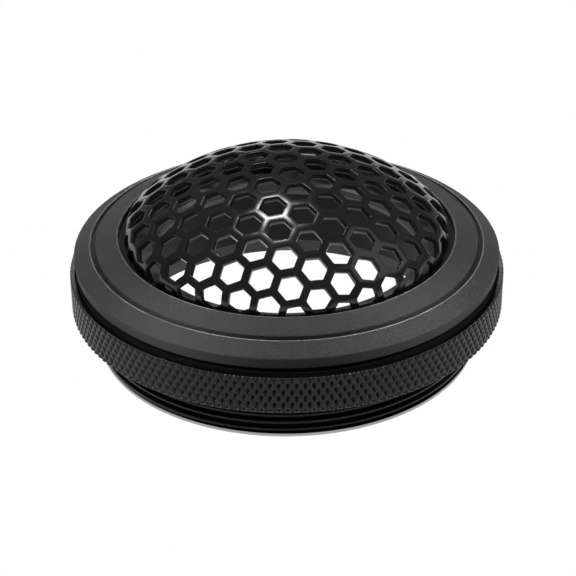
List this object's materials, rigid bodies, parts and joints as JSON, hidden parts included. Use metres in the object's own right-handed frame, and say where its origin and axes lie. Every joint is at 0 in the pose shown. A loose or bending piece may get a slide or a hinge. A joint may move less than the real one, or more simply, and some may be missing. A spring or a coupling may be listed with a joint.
{
  "type": "car tweeter mounting pod",
  "caption": "Round screw-in tweeter pod: domed honeycomb grille in a trim ring, flanged threaded barrel, knurled lock ring and a tapped seat ring for the tweeter.",
  "frame": {"origin": "centre of the rear ring's face that the pod stands on, which is the centre of the bottom of the part's box", "axes": "+Z along the pod's axis, out through the grille"},
  "size_m": [0.0556, 0.0556, 0.0244],
  "materials": {
    "black_anodised": "black anodised, fine blasted satin",
    "bare_aluminium": "bare, fine turned",
    "black_anodised_trim": "black anodised, fine blasted satin",
    "black_anodised_knurl": "black anodised diamond knurl",
    "gloss_black_sheet": "gloss black coat on perforated steel sheet",
    "spring_steel": "plain spring steel",
    "screw_steel": "zinc plated",
    "soft_rubber": "closed-cell rubber",
    "seat_plastic": "moulded, fine texture",
    "washer_plastic": "smooth slip washer"
  },
  "bodies": {
    "barrel": {"barrel_body": "black_anodised", "rear_ring": "bare_aluminium", "seat_ring": "seat_plastic", "seat_screws": "screw_steel", "driver_gasket": "soft_rubber", "panel_gasket": "soft_rubber"},
    "grille": {"grille_dome": "gloss_black_sheet", "grille_seal": "soft_rubber"},
    "trim": {"trim_ring": "black_anodised_trim", "snap_ring": "spring_steel"},
    "washer": {"clamp_washer": "washer_plastic"},
    "ring": {"lock_ring": "black_anodised_knurl"}
  },
  "joints": [
    {"name": "grille_lift", "type": "slide", "parent": "barrel", "child": "grille", "axis": [0, 0, 1], "range_m": [0, 0.002]},
    {"name": "trim_turn", "type": "hinge", "parent": "grille", "child": "trim", "pos_m": [0, 0, 0.0141], "axis": [0, 0, 1], "range_deg": [0, 1441]},
    {"name": "washer_slide", "type": "slide", "parent": "barrel", "child": "washer", "axis": [0, 0, -1], "range_m": [0, 0.0048]},
    {"name": "ring_turn", "type": "hinge", "parent": "washer", "child": "ring", "pos_m": [0, 0, 0.008], "axis": [0, 0, -1], "range_deg": [0, 1729]}
  ],
  "couplings": [
    {"joint": "trim_turn", "follows": "grille_lift", "rad_per_m": 12566},
    {"joint": "ring_turn", "follows": "washer_slide", "rad_per_m": 6283.2}
  ]
}
